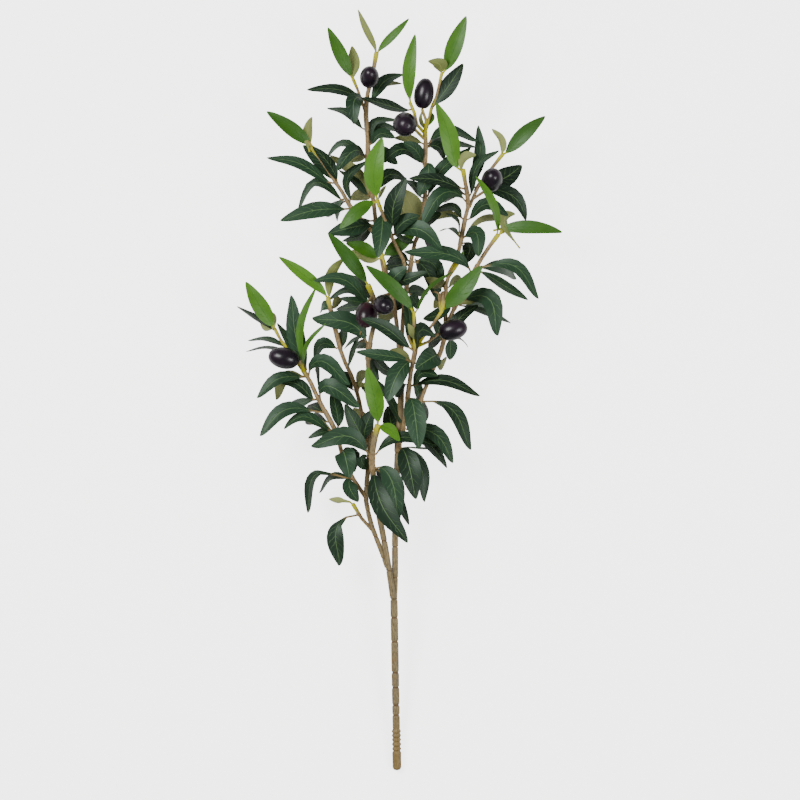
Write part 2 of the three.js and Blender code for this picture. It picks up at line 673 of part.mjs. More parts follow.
const pieces = []; // { name, look, body }
const placed = []; // { body, box, owner } of everything that later leaves have to clear

function remember(body, owner) {
  placed.push({ body, box: body.boundingBox(), owner });
}

function boxesMeet(a, b) {
  return [0, 1, 2].every((k) => a.min[k] <= b.max[k] && b.min[k] <= a.max[k]);
}

function isFree(probe, owner) {
  const box = probe.boundingBox();
  if (box.min[2] < TABLE - TABLE_SLACK) return false;
  for (const other of placed) {
    if (other.owner !== owner && boxesMeet(box, other.box)) {
      if (probe.intersect(other.body).volume() > NO_VOLUME) return false;
    }
  }
  return true;
}

// A leaf is raised or lowered at its middle and tip, in these steps, until it clears everything placed
// so far.
const SHIFTS = [0, 5, -5, 10, -10, 15, -15, 20, -20, 26, -26, 33, -33, 40];
const MIDDLE_SHARE = 0.7; // how far the middle goes along with the tip
const ARCH_SHARE = 0.6; // how much of the tip's rise the middle already has
const ARCH = 3; // and how far it arches above that
const DOWN_SHARE = 1 / 3; // how much of the way down to the table a resting leaf's middle is
const PROBED = [0.12, 0.34, 0.56, 0.78, 1]; // the free length of a leaf, past its stalk
const TABLE_SLACK = 0.01; // how far a leaf may seem to dip into the table
const NO_VOLUME = 1e-6; // a shared volume below this is no overlap
const NEAR_FOOT = 2.5; // a young leaf whose foot is farther than this from its shoot has a bent stalk
const ELBOW = 1; // height and reach of the bend in a stalk
const ROUTE_ENDS = [0.01, 0.99]; // a sleeve stays between these places of its twig

const midRise = (z, rise) => (rise === DOWN ? (TABLE - z) * DOWN_SHARE : ARCH_SHARE * rise + ARCH);

function placeLeaf(foot, elbow, [midX, midY, tipX, tipY, rise, wide, roll, bladeStart], owner, z) {
  const leaf = { wide, roll, bladeStart };
  const rest = elbow ? [elbow] : [];
  for (const shift of SHIFTS) {
    const middle = [midX, midY, z + midRise(z, rise) + MIDDLE_SHARE * shift];
    const tip = [tipX, tipY, rise === DOWN ? TABLE : z + rise + shift];
    const route = curve([foot, ...rest, middle, tip]);
    const blade = curve(PROBED.map((t) => route.getPointAt(t).toArray()));
    const probe = leafSolid(blade, leaf, CLEAR);
    if (isFree(probe, owner)) return { body: leafSolid(route, leaf), probe };
  }
  throw new Error(`no free place for the leaf of ${owner} that ends at ${tipX}, ${tipY}`);
}

// Takes the tubes of all stems, twigs and stalks, each with its gap, out of a body.
function clearOf(body, isOwn) {
  let result = body;
  for (const { owner, bore } of rods) {
    if (!isOwn(owner) && boxesMeet(result.boundingBox(), bore.boundingBox())) result = result.subtract(bore);
  }
  return result;
}

// A cut can leave a sliver behind: the piece itself is the largest body.
function largest(body) {
  return body.decompose().reduce((best, each) => (each.volume() > best.volume() ? each : best));
}

function addBranch(name, young) {
  const { parts } = branches[name];
  let body = rod(parts[0]);
  for (const stalk of parts.slice(1)) body = body.add(rod(stalk));
  for (const [footX, footY, ...rest] of young) {
    let foot = null;
    let near = Infinity;
    for (const { path } of parts) {
      const deepest = 1 - FOOT_DEPTH / path.getLength();
      const at = Math.min(deepest, placeOn(path, footY, footX));
      const p = path.getPointAt(at);
      const gap = Math.hypot(p.x - footX, p.y - footY);
      if (gap < near) {
        near = gap;
        foot = p;
      }
    }
    const elbow = near > NEAR_FOOT ? [footX, footY, foot.z + ELBOW] : null;
    body = body.add(placeLeaf(foot.toArray(), elbow, rest, name, foot.z).body);
  }
  const earlier = Object.keys(branches).slice(0, Object.keys(branches).indexOf(name));
  return largest(clearOf(body, (owner) => !earlier.includes(owner)));
}

const stem = mainStem();
const TABLE = stem.boundingBox().min[2];
pieces.push({ name: 'main_stem', look: 'bark', body: stem });
remember(stem, 'main_stem');

for (const [name, spec] of Object.entries(OLIVES)) {
  const body = oliveSolid(spec);
  pieces.push({ name, look: 'olive_skin', body });
  remember(body, name);
}

// Every tube is known before the first leaf is placed, so that no leaf runs through a later twig.
const branches = {};
const rods = [];
for (const [name, { radius, route, stalks = [] }] of Object.entries(BRANCHES)) {
  const parts = [{ path: curve(route), radius }];
  for (const stalk of stalks) parts.push({ path: curve(stalk), radius: STALK_RADIUS });
  branches[name] = { parts };
  for (const each of parts) {
    remember(rod(each, CLEAR), name);
    rods.push({ owner: name, bore: rod(each, GAP) });
  }
}

for (const [name, { young = [] }] of Object.entries(BRANCHES)) {
  const body = addBranch(name, young);
  pieces.push({ name, look: 'bark', body });
  remember(body, name);
}

const counts = {};
for (const [twig, leaves] of SLEEVES) {
  counts[twig] = (counts[twig] || 0) + 1;
  const name = `leaves_${twig}_${counts[twig]}`;
  const { path, radius } = branches[twig].parts[0];
  const feet = leaves.map(([y]) => placeOn(path, y));
  const reach = SLEEVE_REACH / path.getLength();
  const first = Math.max(ROUTE_ENDS[0], Math.min(...feet) - reach);
  const last = Math.min(ROUTE_ENDS[1], Math.max(...feet) + reach);
  const stretch = [0, 0.25, 0.5, 0.75, 1].map((t) => path.getPointAt(first + (last - first) * t).toArray());
  const outer = radius + GAP + SLEEVE_WALL;
  let body = tube(curve(stretch), outer, sidesOf(radius));
  leaves.forEach(([, ...rest], i) => {
    const centre = path.getPointAt(feet[i]);
    const tangent = path.getTangentAt(feet[i]);
    const toward = vec([rest[0], rest[1], centre.z + midRise(centre.z, rest[4])]).sub(centre);
    toward.addScaledVector(tangent, -toward.dot(tangent)).normalize();
    const foot = centre.clone().addScaledVector(toward, radius);
    const elbow = centre.clone().addScaledVector(toward, outer + ELBOW).addScaledVector(tangent, ELBOW);
    const leaf = placeLeaf(foot.toArray(), elbow.toArray(), rest, name, centre.z);
    body = body.add(leaf.body);
    remember(leaf.probe, `${name}_leaf`);
  });
  body = clearOf(body, () => false);
  pieces.push({ name, look: 'leaf_cloth', body });
  remember(body, name);
}

const spray = new THREE.Group();
for (const { name, look, body } of pieces) {
  const mesh = new THREE.Mesh(geometryOf(body), new THREE.MeshStandardMaterial(MATERIALS[look]));
  mesh.name = name;
  spray.add(mesh);
}

const box = new THREE.Box3().setFromObject(spray, true);
const middle = box.getCenter(new THREE.Vector3());
spray.position.set(-middle.x, -middle.y, -box.min.z);

const part = new THREE.Group();
part.add(spray);

export default part;
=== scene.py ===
# %% [markdown]
# # Olive branch with fruit
# A faux olive spray lies flat. Its stems are moulded plastic over wire, its leaves are printed cloth with
# plastic stalks, and its olives are painted beads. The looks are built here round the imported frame.

import math
import random

import bmesh
import bpy
import numpy as np
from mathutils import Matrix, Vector


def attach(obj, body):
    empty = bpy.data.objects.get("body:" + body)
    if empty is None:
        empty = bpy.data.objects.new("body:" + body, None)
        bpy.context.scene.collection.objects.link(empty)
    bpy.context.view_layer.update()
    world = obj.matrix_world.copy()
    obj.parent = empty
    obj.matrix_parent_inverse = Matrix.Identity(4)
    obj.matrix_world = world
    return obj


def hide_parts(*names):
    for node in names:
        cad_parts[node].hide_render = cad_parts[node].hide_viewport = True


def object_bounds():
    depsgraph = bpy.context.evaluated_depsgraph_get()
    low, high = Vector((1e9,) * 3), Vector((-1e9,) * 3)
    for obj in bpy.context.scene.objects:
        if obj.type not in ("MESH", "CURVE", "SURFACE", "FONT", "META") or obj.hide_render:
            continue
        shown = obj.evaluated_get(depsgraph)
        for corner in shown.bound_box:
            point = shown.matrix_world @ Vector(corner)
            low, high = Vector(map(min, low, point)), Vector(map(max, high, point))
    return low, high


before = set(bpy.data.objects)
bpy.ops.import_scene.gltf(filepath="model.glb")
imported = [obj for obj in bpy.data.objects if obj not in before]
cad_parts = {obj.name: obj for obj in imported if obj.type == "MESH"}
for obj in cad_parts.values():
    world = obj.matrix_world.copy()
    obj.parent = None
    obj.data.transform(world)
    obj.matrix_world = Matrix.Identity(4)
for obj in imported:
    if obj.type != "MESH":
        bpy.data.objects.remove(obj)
first_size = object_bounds()
MM = 0.001
random.seed(11)
WOOD = [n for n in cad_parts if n.endswith("_stem") or n.endswith("_twig")]
SLEEVES = sorted(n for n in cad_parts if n.startswith("leaves_"))
OLIVES = sorted(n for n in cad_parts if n.startswith("olive_"))
print(len(WOOD), "stems and twigs,", len(SLEEVES), "leaf sleeves,", len(OLIVES), "olives")

# %% [markdown]
# ## Working copies
# Each new piece starts from a copy of its CAD part with the loose triangles merged, or from a primitive.
# The parts themselves are never touched.


# %% Helpers for picking and finishing pieces
def only(*objects):
    if bpy.context.object and bpy.context.object.mode != "OBJECT":
        bpy.ops.object.mode_set(mode="OBJECT")
    bpy.ops.object.select_all(action="DESELECT")
    for one in objects:
        one.select_set(True)
    bpy.context.view_layer.objects.active = objects[0]


def merged_copy(node, name):
    copy = bpy.data.objects.new(name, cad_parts[node].data.copy())
    bpy.context.collection.objects.link(copy)
    copy.data.materials.clear()
    only(copy)
    bpy.ops.object.mode_set(mode="EDIT")
    bpy.ops.mesh.select_all(action="SELECT")
    bpy.ops.mesh.remove_doubles(threshold=0.02 * MM)
    bpy.ops.object.mode_set(mode="OBJECT")
    return copy


def finish_piece(piece, node):
    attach(piece, "root")
    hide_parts(node)


# %% [markdown]
# ## Paints
# Small helpers mix colours in the shader, so that no surface is one flat colour.


# %% Shader helpers
def paint(code):
    """Turns a six-digit sRGB code into the linear colour that a shader socket takes."""
    parts = [int(code[i : i + 2], 16) / 255 for i in (0, 2, 4)]
    return [c / 12.92 if c <= 0.04045 else ((c + 0.055) / 1.055) ** 2.4 for c in parts] + [1.0]


def add(tree, kind, values=None, **settings):
    node = tree.nodes.new(kind)
    for key, value in settings.items():
        setattr(node, key, value)
    for key, value in (values or {}).items():
        if isinstance(value, bpy.types.NodeSocket):
            tree.links.new(value, node.inputs[key])
        else:
            node.inputs[key].default_value = value
    return node


def maths(tree, operation, first, second=0.0):
    return add(tree, "ShaderNodeMath", {0: first, 1: second}, operation=operation).outputs[0]


def mixed(tree, amount, first, second):
    node = add(tree, "ShaderNodeMix", {0: amount, 6: first, 7: second}, data_type="RGBA")
    return node.outputs[2]


def ramp(tree, value, low, high, start=0.0, end=1.0):
    values = {"Value": value, "From Min": low, "From Max": high, "To Min": start, "To Max": end}
    return add(tree, "ShaderNodeMapRange", values, interpolation_type="SMOOTHSTEP").outputs[0]


def noise(tree, where, scale, detail=3.0):
    values = {"Vector": where, "Scale": scale, "Detail": detail}
    return add(tree, "ShaderNodeTexNoise", values).outputs["Fac"]


def new_material(name, roughness):
    made = bpy.data.materials.new(name)
    made.use_nodes = True
    surface = made.node_tree.nodes["Principled BSDF"]
    surface.inputs["Roughness"].default_value = roughness
    return made, made.node_tree, surface


def bump(tree, surface, height, distance, strength=1.0):
    values = {"Height": height, "Distance": distance, "Strength": strength}
    node = add(tree, "ShaderNodeBump", values)
    tree.links.new(node.outputs[0], surface.inputs["Normal"])


# %% [markdown]
# ### Leaf cloth
# The real leaves are cloth, printed dark bluish green with a pale midrib and side veins, and khaki behind.
# One recipe makes all four faces (old and young, upper and under) from a map that runs across and along
# the leaf. The leaf's own tone shifts the colour, so that no two leaves match.

# %% Leaf cloth
VEIN_PAIRS = 9.0
VEIN_LEAN = 1.7
VEIN_WANDER = 1.3
VEIN_WIDTH = 0.08
MIDRIB_WIDTH = 0.06
MIDRIB_STRENGTH = 0.6
STALK_FADES = (0.09, 0.15)
CLOTH_SHEEN = 0.32
CLOTH_SHEEN_TINT = (0.8, 1.0, 0.82, 1.0)
CLOTH_RELIEF = 0.25 * MM


def leaf_cloth(name, dark, light, vein, rib, stalk, roughness, vein_share):
    made, tree, surface = new_material(name, roughness)
    surface.inputs["Specular IOR Level"].default_value = CLOTH_SHEEN
    surface.inputs["Specular Tint"].default_value = CLOTH_SHEEN_TINT
    place = add(tree, "ShaderNodeUVMap", uv_map="leaf_map")
    tone = add(tree, "ShaderNodeUVMap", uv_map="leaf_tone")
    where = add(tree, "ShaderNodeTexCoord").outputs["Object"]
    split = add(tree, "ShaderNodeSeparateXYZ", {0: place.outputs[0]})
    across, along = split.outputs[0], split.outputs[1]
    own = add(tree, "ShaderNodeSeparateXYZ", {0: tone.outputs[0]})
    off = maths(tree, "MULTIPLY", maths(tree, "ABSOLUTE", maths(tree, "SUBTRACT", across, 0.5)), 2.0)
    patch = noise(tree, where, 90.0)
    own_tone = maths(tree, "MULTIPLY", own.outputs[0], 0.75)
    share = maths(tree, "ADD", own_tone, maths(tree, "MULTIPLY", patch, 0.5))
    colour = mixed(tree, ramp(tree, share, 0.1, 1.1), paint(dark), paint(light))
    wander = maths(tree, "MULTIPLY", noise(tree, where, 160.0, 2.0), VEIN_WANDER)
    upward = maths(tree, "MULTIPLY", along, VEIN_PAIRS)
    slant = maths(tree, "SUBTRACT", upward, maths(tree, "MULTIPLY", off, VEIN_LEAN))
    slant = maths(tree, "ADD", slant, wander)
    line = maths(tree, "ABSOLUTE", maths(tree, "SUBTRACT", maths(tree, "FRACT", slant), 0.5))
    fade = ramp(tree, noise(tree, where, 60.0, 1.0), 0.32, 0.52)
    drawn = ramp(tree, line, 0.0, VEIN_WIDTH, 1.0, 0.0)
    inside = ramp(tree, off, 0.55, 0.95, 1.0, 0.1)
    veins = maths(tree, "MULTIPLY", maths(tree, "MULTIPLY", drawn, inside), fade)
    colour = mixed(tree, maths(tree, "MULTIPLY", veins, vein_share), colour, paint(vein))
    near_middle = ramp(tree, off, 0.01, MIDRIB_WIDTH, 1.0, 0.0)
    middle = maths(tree, "MULTIPLY", near_middle, MIDRIB_STRENGTH)
    colour = mixed(tree, middle, colour, paint(rib))
    colour = mixed(tree, ramp(tree, along, *STALK_FADES, 1.0, 0.0), colour, paint(stalk))
    tree.links.new(colour, surface.inputs["Base Color"])
    weave = noise(tree, where, 900.0, 2.0)
    height = maths(tree, "ADD", maths(tree, "MULTIPLY", veins, -0.5), maths(tree, "MULTIPLY", weave, 0.3))
    bump(tree, surface, maths(tree, "SUBTRACT", height, middle), CLOTH_RELIEF, 0.6)
    return made


LEAF_FACES = {
    "old": (
        leaf_cloth("old_upper", "0f1d13", "26402b", "5c7a47", "6a8850", "806b45", 0.42, 0.5),
        leaf_cloth("old_under", "62683c", "868a56", "555a30", "9a9a5c", "7d6a3a", 0.65, 0.35),
    ),
    "young": (
        leaf_cloth("young_upper", "2b520c", "538220", "2f5a10", "33600f", "a5a818", 0.42, 0.4),
        leaf_cloth("young_under", "737d42", "9ba363", "6a733a", "b0b468", "a39f22", 0.6, 0.35),
    ),
}
print("leaf cloths:", [m.name for pair in LEAF_FACES.values() for m in pair])

# %% [markdown]
# ### Bark, shoots and olive skin
# The stems are grey-tan plastic with fine lengthwise grain and orange-brown in the hollows. Their ring
# grooves are darkened, partly with the stem's own stain and partly with painted shade. Twigs are browner, and
# turn yellow-green where the young leaves stand. The youth of each spot is kept with the mesh.

# %% Bark and shoots
BARK_ROUGHNESS = 0.6
BARK_RELIEF = 0.3 * MM
# How far ring grooves are darkened towards the ring colour: partly the stem's own stain, partly painted
# shade.
GROOVE_STAIN_AND_SHADE = 0.85
SHOOT_GREENS = ("a19c0c", "cbc420")
GOLDS = ("634a1e", "9a7f43")
GOLD_FULL = -360 * MM
GOLD_ENDS = -310 * MM


def bark(name, dark, light, hollow, ring, grain, golden_end=False):
    made, tree, surface = new_material(name, BARK_ROUGHNESS)
    where = add(tree, "ShaderNodeTexCoord").outputs["Object"]
    long_way = add(tree, "ShaderNodeMapping", {"Vector": where, "Scale": (1.0, grain, 1.0)}).outputs[0]
    fibre = noise(tree, long_way, 1400.0)
    blotch = noise(tree, where, 120.0)
    colour = mixed(tree, ramp(tree, fibre, 0.3, 0.7), paint(dark), paint(light))
    colour = mixed(tree, ramp(tree, blotch, 0.5, 0.8, 0.0, 0.4), colour, paint(hollow))
    age = add(tree, "ShaderNodeUVMap", uv_map="age")
    young, groove, _ = add(tree, "ShaderNodeSeparateXYZ", {0: age.outputs[0]}).outputs
    # Ring grooves are darkened towards the ring colour: partly stain, partly painted shade in the recess.
    colour = mixed(tree, maths(tree, "MULTIPLY", groove, GROOVE_STAIN_AND_SHADE), colour, paint(ring))
    fresh = mixed(tree, fibre, *[paint(green) for green in SHOOT_GREENS])
    colour = mixed(tree, young, colour, fresh)
    if golden_end:
        up_stem = add(tree, "ShaderNodeSeparateXYZ", {0: where}).outputs[1]
        golden = ramp(tree, up_stem, GOLD_FULL, GOLD_ENDS, 0.75, 0.0)
        colour = mixed(tree, golden, colour, mixed(tree, fibre, *[paint(gold) for gold in GOLDS]))
    tree.links.new(colour, surface.inputs["Base Color"])
    bump(tree, surface, fibre, BARK_RELIEF, 0.7)
    return made


# The ring colours are the dark browns of the grooves, partly stain and partly painted shade.
STEM_BARK = bark("stem_bark", "5c5036", "948259", "85581f", "5a3a14", 0.07, golden_end=True)
TWIG_BARK = bark("twig_bark", "6a5636", "a0875c", "7d673a", "4a3416", 0.2)

# %% [markdown]
# The olives are near-black purple with a satin gloss. One is still ripening and shows red-purple.

# %% Olive skin
OLIVE_SHEEN = 0.45
OLIVE_RELIEF = 0.08 * MM


def olive_skin(name, dark, light, roughness):
    made, tree, surface = new_material(name, roughness)
    where = add(tree, "ShaderNodeTexCoord").outputs["Object"]
    cloud = noise(tree, where, 70.0, 4.0)
    speck = noise(tree, where, 260.0, 1.0)
    colour = mixed(tree, ramp(tree, cloud, 0.35, 0.7), paint(dark), paint(light))
    surface.inputs["Specular IOR Level"].default_value = OLIVE_SHEEN
    tree.links.new(colour, surface.inputs["Base Color"])
    gloss = ramp(tree, cloud, 0.3, 0.7, roughness, roughness + 0.08)
    tree.links.new(gloss, surface.inputs["Roughness"])
    bump(tree, surface, speck, OLIVE_RELIEF, 0.1)
    return made


RIPE = olive_skin("ripe_olive", "07020b", "1f0b1f", 0.26)
RIPENING = olive_skin("ripening_olive", "14040d", "380f20", 0.28)
print("barks and skins ready")

# %% [markdown]
# ## Reading the leaves
# Every CAD leaf is a loft of four-cornered rings that ends in a point. Walking back from the point gives
# the leaf's spine, width and facing, so the cloth leaf lies exactly where the CAD leaf lies.

# %% Leaf reader
RINGS = (0.85, 0.64, 0.44, 0.26, 0.12)
STALK_HALF = 0.65 * MM
BLADE_STARTS = (0.16, 0.2, 0.25, 0.3, 0.35, 0.4, 0.45, 0.5, 0.55, 0.6)
CAD_SKEW = 0.82
CAD_FULLNESS = 0.8
CLOTH_SKEW = 0.86
CLOTH_SPREAD = 1.04
CLOTH_EARLIEST = 0.45
CLOTH_LATEST = 0.85
NARROW_FOOT = 1.1
FULLER_TIP = 0.42
FOOT_HALF = 0.9 * MM
CLOTH_MARGIN = 0.15 * MM


def half_width(along, start):
    """The outline that a CAD leaf is drawn with, as a share of its half width."""
    share = np.clip((np.asarray(along, float) - start) / (1 - start), 0, 1)
    return np.sin(np.pi * share**CAD_SKEW).clip(0, 1) ** CAD_FULLNESS


def blade_half(along, half, start):
    """The cloth runs out along its stalk, so the blade narrows gently towards the foot."""
    reach = CLOTH_EARLIEST + 2.3 * (start - 0.2)
    begin = start * np.clip(reach, CLOTH_EARLIEST, CLOTH_LATEST)
    share = np.clip((along - begin) / (1 - begin), 0, 1)
    sine = np.sin(np.pi * share**CLOTH_SKEW).clip(0, 1)
    blade = CLOTH_SPREAD * half * sine ** (NARROW_FOOT - FULLER_TIP * share)
    return np.sqrt(blade**2 + (FOOT_HALF * (1 - share) ** 2) ** 2) + CLOTH_MARGIN


def read_ring(verts):
    """A ring is the leaf's two edges and the two sides of its rib, and its longest span is its width."""
    points = [np.array(v.co) for v in verts]
    pairs = [(0, 1, 2, 3), (0, 2, 1, 3), (0, 3, 1, 2)]
    spans = []
    for a, b, c, d in pairs:
        spans.append((np.linalg.norm(points[a] - points[b]), (a, b, c, d)))
        spans.append((np.linalg.norm(points[c] - points[d]), (c, d, a, b)))
    span, (a, b, c, d) = max(spans)
    rib = (points[c] + points[d]) / 2
    return {
        "centre": rib,
        "edge": (points[a] - points[b]) / span,
        "half": span / 2,
        "up": (points[a] + points[b]) / 2 - rib,
    }


def read_leaf(tip, rings, foot):
    """Fits a smooth spine through the rings, and finds where the blade starts and how wide it is."""
    read = [read_ring(r) for r in rings]
    for before, after in zip(read, read[1:]):
        if before["edge"] @ after["edge"] < 0:
            after["edge"] = -after["edge"]
    places = [1.0, *RINGS[: len(read)]]
    centres = [np.array(tip.co), *[r["centre"] for r in read]]
    if foot is not None:
        places.append(0.0)
        centres.append(foot)
    degree = 4 if len(places) > 5 else 2
    spine = [np.polyfit(places, [c[k] for c in centres], degree) for k in range(3)]
    halves = np.array([r["half"] for r in read])
    best = None
    ring_places = places[1 : len(read) + 1]
    for start in BLADE_STARTS:
        shape = half_width(ring_places, start)
        wide = (shape @ halves) / (shape @ shape)
        miss = np.abs(np.maximum(shape * wide, STALK_HALF) - halves).sum()
        if best is None or miss < best[0]:
            best = (miss, start, wide)
    widest = int(np.argmax(halves))
    return {
        "places": ring_places[::-1],
        "edges": [r["edge"] for r in read][::-1],
        "spine": spine,
        "start": best[1],
        "half": best[2],
        "up": read[widest]["up"],
        "tip": centres[0],
    }


def read_leaves(copy):
    """Reads every leaf of a copy, cuts the leaves off it and closes the holes they leave."""
    shape = bmesh.new()
    shape.from_mesh(copy.data)
    leaves, spent = [], set()
    for tip in shape.verts:
        if len(tip.link_edges) != 4:
            continue
        seen, rings = {tip}, []
        ring = {e.other_vert(tip) for e in tip.link_edges}
        while len(ring) == 4 and len(rings) < len(RINGS):
            rings.append(list(ring))
            seen |= ring
            ring = {e.other_vert(v) for v in ring for e in v.link_edges} - seen
        if len(rings) < 3:
            continue
        foot = None
        if len(rings) == len(RINGS) and ring:
            foot = np.mean([np.array(v.co) for v in ring], axis=0)
        leaves.append(read_leaf(tip, rings, foot))
        spent |= seen
    bmesh.ops.delete(shape, geom=list(spent), context="VERTS")
    bmesh.ops.holes_fill(shape, edges=[e for e in shape.edges if e.is_boundary], sides=0)
    bmesh.ops.triangulate(shape, faces=shape.faces)
    bmesh.ops.recalc_face_normals(shape, faces=shape.faces)
    shape.to_mesh(copy.data)
    shape.free()
    return leaves


# %% [markdown]
# ## The master leaf
# One thin closed sheet, modelled once: a grid thickened into a sheet with cut edges. It is then copied
# and laid along each spine. Its first rows are the round plastic stalk, the rest is the folded blade.

# %% Master leaf
ROWS = (0.0, 0.1, 0.2, 0.24, 0.29, 0.36, 0.45, 0.55, 0.65, 0.75, 0.84, 0.91, 0.96, 0.985, 1.0)
STALK_SHARE = 0.2
CELLS_ACROSS = 4
SOFT_ANGLE = math.radians(60)
bpy.ops.mesh.primitive_grid_add(x_subdivisions=CELLS_ACROSS, y_subdivisions=len(ROWS) - 1, size=2)
master = bpy.context.object
master.name = "master_leaf"
sheet = master.modifiers.new("sheet", "SOLIDIFY")
sheet.thickness = 0.1
sheet.offset = 0
only(master)
bpy.ops.object.modifier_apply(modifier="sheet")
bpy.ops.object.shade_smooth()
corner = np.zeros(len(master.data.vertices) * 3)
master.data.vertices.foreach_get("co", corner)
corner = corner.reshape(-1, 3)
ACROSS = np.clip(corner[:, 0], -1, 1)
ROW = np.rint((np.clip(corner[:, 1], -1, 1) + 1) / 2 * (len(ROWS) - 1)).astype(int)
SIDE = np.sign(corner[:, 2])
for face in master.data.polygons:
    face.material_index = 1 if face.normal.z < -0.5 else 0
master.data.update()
only(master)
bpy.ops.object.shade_smooth_by_angle(angle=SOFT_ANGLE)
master.data.uv_layers[0].name = "leaf_map"
master.data.uv_layers.new(name="leaf_tone")
print("master leaf:", len(master.data.polygons), "faces")

# %% [markdown]
# ### Laying a leaf on its spine
# The sheet follows the spine and turns with the CAD leaf. Its two halves fold up from the midrib, and a
# slight ripple runs along the edges. How far a leaf folds, where its ripple starts and its tone differ.

# %% Laying a leaf on its spine
HALF_THICK = (0.8 * MM, 0.7 * MM, 0.3 * MM, 0.2 * MM)
STALK_SWELLS_TO = 0.6
EDGE_HALF_THICK = 0.1 * MM
LENS_SHARE = 0.98
FOLDS = (0.16, 0.24)
FOLD_BEND = 1.3
UNFOLDED_HALF = 0.5 * MM
RIPPLE = 0.05
RIPPLE_TURNS = 9
RIPPLE_LEAN = 1.5
RIPPLE_STARTS = (0, 6.3)


def spine_frame(leaf, along):
    """Gives the centre, the way to the edge and the way up, for each place along the leaf."""
    centre = np.stack([np.polyval(p, along) for p in leaf["spine"]], axis=1)
    run = np.stack([np.polyval(np.polyder(p), along) for p in leaf["spine"]], axis=1)
    run /= np.linalg.norm(run, axis=1, keepdims=True)
    edges = np.array(leaf["edges"])
    edge = np.stack([np.interp(along, leaf["places"], edges[:, k]) for k in range(3)], axis=1)
    edge -= run * (edge * run).sum(1, keepdims=True)
    edge /= np.linalg.norm(edge, axis=1, keepdims=True)
    face = np.cross(run, edge)
    if (face @ leaf["up"]).mean() < 0:
        return centre, -edge, -face
    return centre, edge, face


def lay_leaf(leaf, age, name):
    rows = np.array(ROWS)
    start = leaf["start"]
    on_stalk = rows / STALK_SHARE * start
    on_blade = start + (rows - STALK_SHARE) / (1 - STALK_SHARE) * (1 - start)
    along = np.where(rows < STALK_SHARE, on_stalk, on_blade)
    centre, edge, face = spine_frame(leaf, along)
    half = blade_half(along, leaf["half"], start)
    thick = np.interp(along, (0, STALK_SWELLS_TO * start, start, 1), HALF_THICK)
    fold = random.uniform(*FOLDS)
    wave = random.uniform(*RIPPLE_STARTS)
    u, row = ACROSS, ROW
    lens = np.maximum(thick[row] * np.sqrt(1 - u**2 * LENS_SHARE), EDGE_HALF_THICK)
    ripple = RIPPLE * half[row] * np.sin(RIPPLE_TURNS * along[row] + wave + RIPPLE_LEAN * u) * u**2
    rise = fold * np.abs(u) ** FOLD_BEND * (half[row] - UNFOLDED_HALF).clip(0)
    up = SIDE * lens + rise + ripple
    where = centre[row] + edge[row] * (u * half[row])[:, None] + face[row] * up[:, None]
    mesh = master.data.copy()
    mesh.vertices.foreach_set("co", where.ravel())
    loops = np.zeros(len(mesh.loops), int)
    mesh.loops.foreach_get("vertex_index", loops)
    pattern = np.stack([0.5 + u / 2, rows[row]], axis=1)
    mesh.uv_layers["leaf_map"].data.foreach_set("uv", pattern[loops].ravel())
    tone = np.tile([random.random(), random.random()], len(loops))
    mesh.uv_layers["leaf_tone"].data.foreach_set("uv", tone)
    for cloth in LEAF_FACES[age]:
        mesh.materials.append(cloth)
    mesh.update()
    made = bpy.data.objects.new(name, mesh)
    bpy.context.collection.objects.link(made)
    return made


# %% [markdown]
# ## Wood
# With its leaves taken off, each branch is a run of angular tubes. Skinning it again on a fine grid and
# relaxing the skin gives the soft joints of one moulding. How near a spot is to a young leaf's foot says
# how green it is. A kind of wood has its grid, its rounds of relaxing and its swell.

# %% Wood and shoots
SKINS = {
    "sleeve": (0.35 * MM, 4, -0.25 * MM),
    "stem": (0.45 * MM, 5, 0.5 * MM),
    "twig": (0.4 * MM, 3, 0.5 * MM),
}
YOUTH_FULL = 4 * MM
YOUTH_ENDS = 12 * MM
YOUNG_SWELL = 0.3 * MM
RING_DEPTH = 0.55 * MM
RING_REACH = 0.7 * MM
RINGS_ON_STEMS = {
    "right_stem": [-187, -156, -128, -96, -62, -30, 4],
    "middle_stem": [-180, -150, -118, -92, -66],
    "left_stem": [-168, -146, -120, -95, -68, -40],
}


def smooth_skin(piece, grid, rounds, swell):
    skin = piece.modifiers.new("skin", "REMESH")
    skin.mode = "VOXEL"
    skin.voxel_size = grid
    relax = piece.modifiers.new("relax", "SMOOTH")
    relax.iterations = rounds
    only(piece)
    bpy.ops.object.modifier_apply(modifier="skin")
    bpy.ops.object.modifier_apply(modifier="relax")
    bpy.ops.object.mode_set(mode="EDIT")
    bpy.ops.mesh.select_all(action="SELECT")
    bpy.ops.transform.shrink_fatten(value=swell)
    bpy.ops.object.mode_set(mode="OBJECT")
    bpy.ops.object.shade_smooth()


def spots_of(mesh):
    spots = np.zeros(len(mesh.vertices) * 3)
    mesh.vertices.foreach_get("co", spots)
    return spots.reshape(-1, 3)


def mark(piece, youth, groove):
    """Keeps how young and how deep in a ring groove each spot is, for the bark to read."""
    mesh = piece.data
    loops = np.zeros(len(mesh.loops), int)
    mesh.loops.foreach_get("vertex_index", loops)
    layer = mesh.uv_layers.new(name="age")
    layer.data.foreach_set("uv", np.stack([youth, groove], axis=1)[loops].ravel())


def youth_of(spots, feet):
    """Is 1 by a young leaf's foot and falls to 0 further off."""
    gap = np.full(len(spots), np.inf)
    for foot in feet:
        gap = np.minimum(gap, np.linalg.norm(spots - foot, axis=1))
    return np.clip((YOUTH_ENDS - gap) / (YOUTH_ENDS - YOUTH_FULL), 0, 1)


